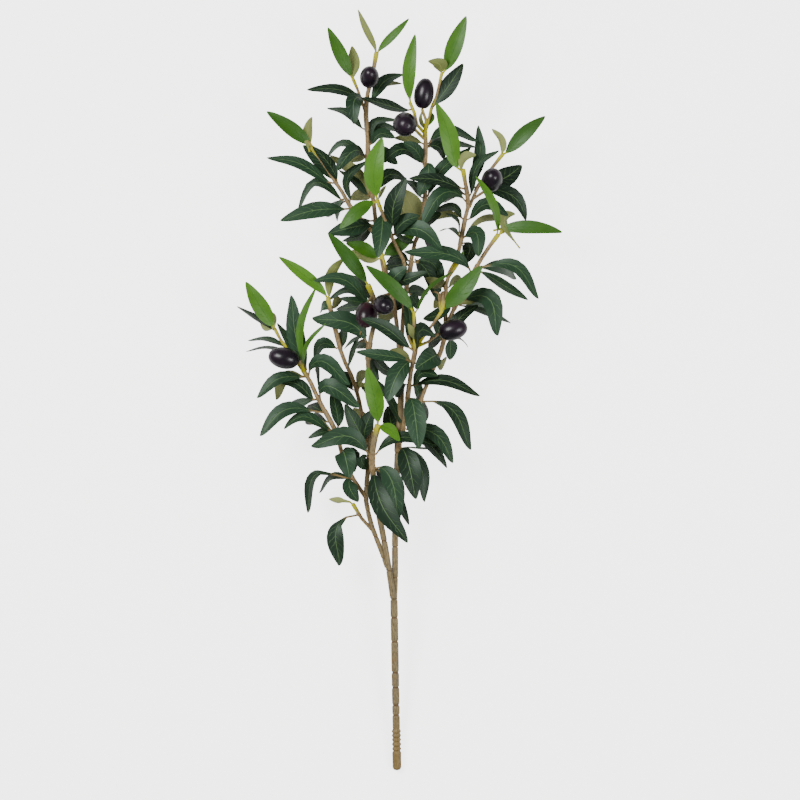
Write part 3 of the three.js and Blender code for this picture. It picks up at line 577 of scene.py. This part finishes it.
def ring_grooves(piece, places, youth):
    """Presses shallow rings into a stem, square to its run up the spray, and thickens young stalks."""
    spots = spots_of(piece.data)
    depth = np.zeros(len(spots))
    for y in places:
        depth = np.maximum(depth, np.exp(-(((spots[:, 1] - y * MM) / RING_REACH) ** 2)))
    normals = np.zeros(len(spots) * 3)
    piece.data.vertices.foreach_get("normal", normals)
    spots += normals.reshape(-1, 3) * (YOUNG_SWELL * youth - RING_DEPTH * depth)[:, None]
    piece.data.vertices.foreach_set("co", spots.ravel())
    piece.data.update()
    return depth


# %% [markdown]
# ### Ages of the leaves, and every branch in turn
# The leaves on a sleeve are old and those on a shoot are young, but for a few dark ones that are known by
# where their tips are, in mm. Each branch or sleeve becomes one piece of wood and one piece of leaves.

# %% Ages of the leaves on the shoots
TIP_REACH = 4 * MM
DARK_ON_SHOOT = {
    "tall_right_twig": [(63.5, 327), (-37.5, 293)],
    "far_left_twig": [(-162.5, 84.5), (-151.5, 50.5), (-153.5, 39.5)],
}


def age_of(node, tip):
    if node in SLEEVES:
        return "old"
    for x, y in DARK_ON_SHOOT.get(node, []):
        if abs(tip[0] - x * MM) < TIP_REACH and abs(tip[1] - y * MM) < TIP_REACH:
            return "old"
    return "young"


leaf_count = 0
for node in [n for n in WOOD if n != "main_stem"] + SLEEVES:
    rest = merged_copy(node, node + "_wood" if node in WOOD else node + "_collar")
    leaves = read_leaves(rest)
    laid = [lay_leaf(leaf, age_of(node, leaf["tip"]), "leaf") for leaf in leaves]
    leaf_count += len(laid)
    feet = [np.array([np.polyval(p, 0.0) for p in leaf["spine"]]) for leaf in leaves]
    kind = "sleeve" if node in SLEEVES else "stem" if node.endswith("_stem") else "twig"
    smooth_skin(rest, *SKINS[kind])
    youth = youth_of(spots_of(rest.data), [] if kind == "sleeve" else feet)
    mark(rest, youth, ring_grooves(rest, RINGS_ON_STEMS.get(node, []), youth))
    rest.data.materials.append(STEM_BARK if kind == "stem" else TWIG_BARK)
    finish_piece(rest, node)
    if laid:
        only(*laid)
        if len(laid) > 1:
            bpy.ops.object.join()
        laid[0].name = node + "_leaves" if node in WOOD else node + "_cloth"
        finish_piece(laid[0], node)
bpy.data.objects.remove(master)
print(leaf_count, "leaves laid")

# %% [markdown]
# ## The main stem
# A turned stem with a rounded end, five beads and ring grooves. Its outline is read off the CAD stem, made
# finer and a little uneven, and spun round the stem's own axis.

# %% Main stem
SLICE = 0.6 * MM
STEP = 0.5 * MM
TOP_REACH = 3 * MM
BEADS_FROM = 14 * MM
BEADS_TO = 44 * MM
BEAD_BOOST = 0.6
LEVEL_REACH = 12
PLAIN_RADIUS = 3.4 * MM
GROOVE_DEPTH = 0.9 * MM
GROOVE_BOOST = 1.1
GROOVE_SHARPNESS = 1.6
# Where the turned stem is thinner than this, in its ring grooves, the bark is darkened: partly stain, partly
# painted shade.
STAIN_AND_SHADE_BELOW = 3.6 * MM
STAIN_AND_SHADE_FADES = 0.5 * MM
STAIN_AND_SHADE_FROM = 3 * MM
STAIN_AND_SHADE_STOPS = 1.5 * MM
FORK_JOIN = 1.6 * MM
UNEVENNESS = 0.09 * MM
STEM_SWELL = 0.4 * MM
SPIN_STEPS = 40


def smoothed(values, weights):
    """Averages each value with its neighbours, with the end values carried on past the ends."""
    reach = len(weights) // 2
    return np.convolve(np.pad(values, reach, mode="edge"), weights, mode="valid")


def stem_outline(fine, heights, radii):
    """Makes the read outline finer, its beads fuller and its ring grooves sharper, and a little uneven."""
    outline = np.interp(fine, heights, radii)
    span = 2 * LEVEL_REACH + 1
    level = smoothed(outline, np.ones(span) / span)
    outline += BEAD_BOOST * (outline - level) * (fine > BEADS_FROM) * (fine < BEADS_TO)
    dip = np.clip((PLAIN_RADIUS - outline) / GROOVE_DEPTH, 0, 1)
    ringed = PLAIN_RADIUS - GROOVE_BOOST * GROOVE_DEPTH * dip**GROOVE_SHARPNESS
    outline = smoothed(np.where(fine > BEADS_TO, ringed, outline), (0.25, 0.5, 0.25))
    uneven = np.array([random.uniform(-1, 1) for _ in fine])
    outline += UNEVENNESS * np.convolve(uneven, np.ones(5) / 5, mode="same") + STEM_SWELL
    outline[0] = 0
    return outline


def main_stem_piece():
    sample = merged_copy("main_stem", "sample")
    spots = spots_of(sample.data)
    bpy.data.objects.remove(sample)
    foot = spots[spots[:, 1].argmin()]
    top = spots[spots[:, 1] > spots[:, 1].max() - TOP_REACH].mean(axis=0)
    run = (top - foot) / np.linalg.norm(top - foot)
    along = (spots - foot) @ run
    away = np.linalg.norm(spots - foot - along[:, None] * run, axis=1)
    heights = np.unique(np.round(along / SLICE)) * SLICE
    radii = np.array([away[np.abs(along - h) < STEP].max() for h in heights])
    fine = np.arange(0, heights[-1] + FORK_JOIN, STEP)
    outline = stem_outline(fine, heights, radii)
    side = np.cross(run, (0, 0, 1))
    side /= np.linalg.norm(side)
    points = [tuple(foot + run * h + side * r) for h, r in zip(fine, outline)]
    points.append(tuple(foot + run * fine[-1]))
    mesh = bpy.data.meshes.new("main_stem_turned")
    mesh.from_pydata(points, [(i, i + 1) for i in range(len(points) - 1)], [])
    stem = bpy.data.objects.new("main_stem_turned", mesh)
    bpy.context.collection.objects.link(stem)
    only(stem)
    bpy.ops.object.mode_set(mode="EDIT")
    bpy.ops.mesh.select_all(action="SELECT")
    bpy.ops.mesh.spin(steps=SPIN_STEPS, angle=math.tau, center=tuple(foot), axis=tuple(run))
    bpy.ops.mesh.select_all(action="SELECT")
    bpy.ops.mesh.remove_doubles(threshold=0.01 * MM)
    bpy.ops.mesh.normals_make_consistent(inside=False)
    bpy.ops.object.mode_set(mode="OBJECT")
    bpy.ops.object.shade_smooth()
    spots = spots_of(mesh)
    along = (spots - foot) @ run
    away = np.linalg.norm(spots - foot - along[:, None] * run, axis=1)
    # Marks the grooves for darkening: partly the stem's own stain, partly painted shade in the recess.
    between_ends = (along > STAIN_AND_SHADE_FROM) * (along < fine[-1] - STAIN_AND_SHADE_STOPS)
    groove = np.clip((STAIN_AND_SHADE_BELOW - away) / STAIN_AND_SHADE_FADES, 0, 1) * between_ends
    mark(stem, np.zeros(len(spots)), groove)
    stem.data.materials.append(STEM_BARK)
    finish_piece(stem, "main_stem")
    print("main stem:", len(mesh.polygons), "faces, length", round(fine[-1] * 1000, 1), "mm")


main_stem_piece()

# %% [markdown]
# ## Olives
# Each is a smooth bead, a little fuller than an ellipsoid, with a small hollow where its stalk goes in and
# a slight scar at the far end. A finely divided sphere is shaped along the line between the CAD olive's ends.

# %% Olives
AROUND = 64
RINGS_UP = 40
FULLNESS = 0.9
TAPER = 0.05
HOLLOW_DEPTH = 0.9 * MM
HOLLOW_REACH = 0.16
SCAR_DEPTH = 0.25 * MM
SCAR_REACH = 0.1


def ends_of(node):
    """Finds the two ends of a CAD olive, where most edges meet, and how thick it is."""
    copy = merged_copy(node, "sample")
    shape = bmesh.new()
    shape.from_mesh(copy.data)
    ends = [np.array(v.co) for v in sorted(shape.verts, key=lambda v: -len(v.link_edges))[:2]]
    middle = (ends[0] + ends[1]) / 2
    way = (ends[1] - ends[0]) / np.linalg.norm(ends[1] - ends[0])
    reach = [np.array(v.co) - middle for v in shape.verts]
    girth = max(np.linalg.norm(r - way * (r @ way)) for r in reach)
    shape.free()
    bpy.data.objects.remove(copy)
    return ends, girth


wood_points = np.concatenate([[v.co[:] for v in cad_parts[n].data.vertices] for n in WOOD])
for node in OLIVES:
    ends, girth = ends_of(node)
    gaps = [np.linalg.norm(wood_points - e, axis=1).min() for e in ends]
    foot, top = (ends[0], ends[1]) if gaps[0] < gaps[1] else (ends[1], ends[0])
    length = np.linalg.norm(top - foot)
    bpy.ops.mesh.primitive_uv_sphere_add(segments=AROUND, ring_count=RINGS_UP, radius=1)
    olive = bpy.context.object
    olive.name = node + "_skin"
    turn = Vector((0, 0, 1)).rotation_difference(Vector(top - foot)).to_matrix()
    middle = Vector((foot + top) / 2)
    for v in olive.data.vertices:
        x, y, z = v.co
        level = math.acos(max(-1.0, min(1.0, -z))) / math.pi
        girth_here = girth * math.sin(math.pi * level) ** FULLNESS * (1 - TAPER * z)
        side = math.hypot(x, y)
        if side > 1e-6:
            x, y = x / side * girth_here, y / side * girth_here
        hollow = HOLLOW_DEPTH * math.exp(-((side / HOLLOW_REACH) ** 2)) if z < 0 else 0
        scar = SCAR_DEPTH * math.exp(-((side / SCAR_REACH) ** 2)) if z > 0 else 0
        v.co = turn @ Vector((x, y, z * length / 2 + hollow - scar)) + middle
    bpy.ops.object.shade_smooth()
    olive.data.materials.append(RIPENING if node == "olive_ripening" else RIPE)
    finish_piece(olive, node)
print(len(OLIVES), "olives")

# %% [markdown]
# ## Camera
# The spray is seen from straight above through a long lens. The view is as wide as it is set here at the
# height of the leaves, and the spray stands a little high in it.

# %% Camera
VIEW_WIDTH = 800 * MM
LEAF_LEVEL = 55 * MM
LENS = 500
SENSOR = 36
ASIDE = 0.5 * MM
BELOW = 9 * MM
camera = bpy.data.objects.new("camera", bpy.data.cameras.new("camera"))
bpy.context.collection.objects.link(camera)
camera.data.lens = LENS
camera.data.sensor_width = SENSOR
low, high = first_size
middle = (low + high) / 2
camera.location = (middle.x + ASIDE, middle.y - BELOW, LEAF_LEVEL + VIEW_WIDTH * LENS / SENSOR)
camera.data.clip_end = 100
camera.data.dof.use_dof = False
bpy.context.scene.camera = camera

# %% [markdown]
# ## Floor
# A wide white sheet, just under the spray. It glows for the camera, so that it shows white, and hardly
# glows for the spray, so that the leaves keep their shade beneath.

# %% Floor
FLOOR_SIZE = 60
FLOOR_DROP = 0.3 * MM
GLOW_ON_SPRAY = 0.25
GLOW_SEEN = 3.0
bpy.ops.mesh.primitive_plane_add(size=FLOOR_SIZE, location=(0, 0, -FLOOR_DROP))
floor = bpy.context.object
floor.name = "floor"
sheet_paint, tree, surface = new_material("floor_paper", 0.9)
surface.inputs["Base Color"].default_value = (0.95, 0.95, 0.95, 1)
surface.inputs["Emission Color"].default_value = (1, 1, 1, 1)
seen = add(tree, "ShaderNodeLightPath").outputs["Is Camera Ray"]
glow = ramp(tree, seen, 0.0, 1.0, GLOW_ON_SPRAY, GLOW_SEEN)
tree.links.new(glow, surface.inputs["Emission Strength"])
floor.data.materials.append(sheet_paint)

# %% [markdown]
# ## Lights
# A large key light stands up and to the left, a weaker fill to the right, and a dim white sky is all round.

# %% Lights
SKY_STRENGTH = 0.3
world = bpy.data.worlds.new("studio")
bpy.context.scene.world = world
world.use_nodes = True
sky = world.node_tree.nodes["Background"]
sky.inputs["Color"].default_value = (1, 1, 1, 1)
sky.inputs["Strength"].default_value = SKY_STRENGTH


def soft_light(name, place, size, power):
    """A rectangular light that faces the middle of the spray."""
    lamp = bpy.data.lights.new(name, "AREA")
    lamp.shape = "RECTANGLE"
    lamp.size, lamp.size_y = size
    lamp.energy = power
    body = bpy.data.objects.new(name, lamp)
    bpy.context.collection.objects.link(body)
    body.location = place
    body.rotation_euler = Vector(place).to_track_quat("Z", "Y").to_euler()


soft_light("key", place=(-1.1, 0.7, 2.0), size=(0.9, 0.9), power=50)
soft_light("fill", place=(1.3, -0.4, 1.8), size=(0.7, 0.9), power=26)
